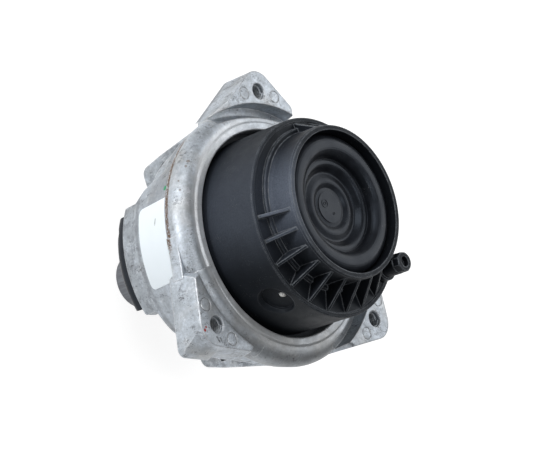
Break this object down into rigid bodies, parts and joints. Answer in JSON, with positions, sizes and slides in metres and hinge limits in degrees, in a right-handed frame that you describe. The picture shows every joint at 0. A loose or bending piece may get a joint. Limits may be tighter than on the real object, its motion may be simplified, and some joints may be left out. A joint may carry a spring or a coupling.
{
  "type": "engine mount",
  "caption": "Hydraulic engine mount: rubber spring clamped between aluminium castings with threaded lugs, under a black plastic cup with fins, diaphragm and air nozzle.",
  "frame": {"origin": "midway between the core's two bolt pads, in the plane of their ends", "axes": "+Z along the mount axis towards the plastic cup, +Y towards the upper lug, +X completes the frame towards the lower right lug"},
  "size_m": [0.1356, 0.1494, 0.126],
  "materials": {
    "cast_alloy": "die-cast, dull, with dirt specks and rust dots at the seam",
    "core_alloy": "extruded, satin",
    "black_plastic": "glass-filled, fine moulded grain",
    "inner_plastic": "smooth moulded",
    "rubber": "matt, slightly dusty",
    "steel": "phosphated",
    "label_film": "blank self-adhesive film",
    "white_ball": "smooth"
  },
  "bodies": {
    "root": {"ring_bracket": "cast_alloy", "stop_cage": "cast_alloy", "core": "core_alloy", "main_spring": "rubber", "spring_sleeve": "steel", "stop_buffer_left": "rubber", "stop_buffer_right": "rubber", "rebound_pad": "rubber", "upper_nozzle_plate": "inner_plastic", "lower_nozzle_plate": "inner_plastic", "decoupler_membrane": "rubber", "idle_valve_membrane": "rubber", "idle_valve_cup": "inner_plastic", "idle_valve_spring": "steel", "air_tube": "rubber", "lower_housing": "black_plastic", "diaphragm": "rubber", "diaphragm_ring": "inner_plastic", "fill_ball": "white_ball", "label": "label_film"}
  },
  "joints": []
}
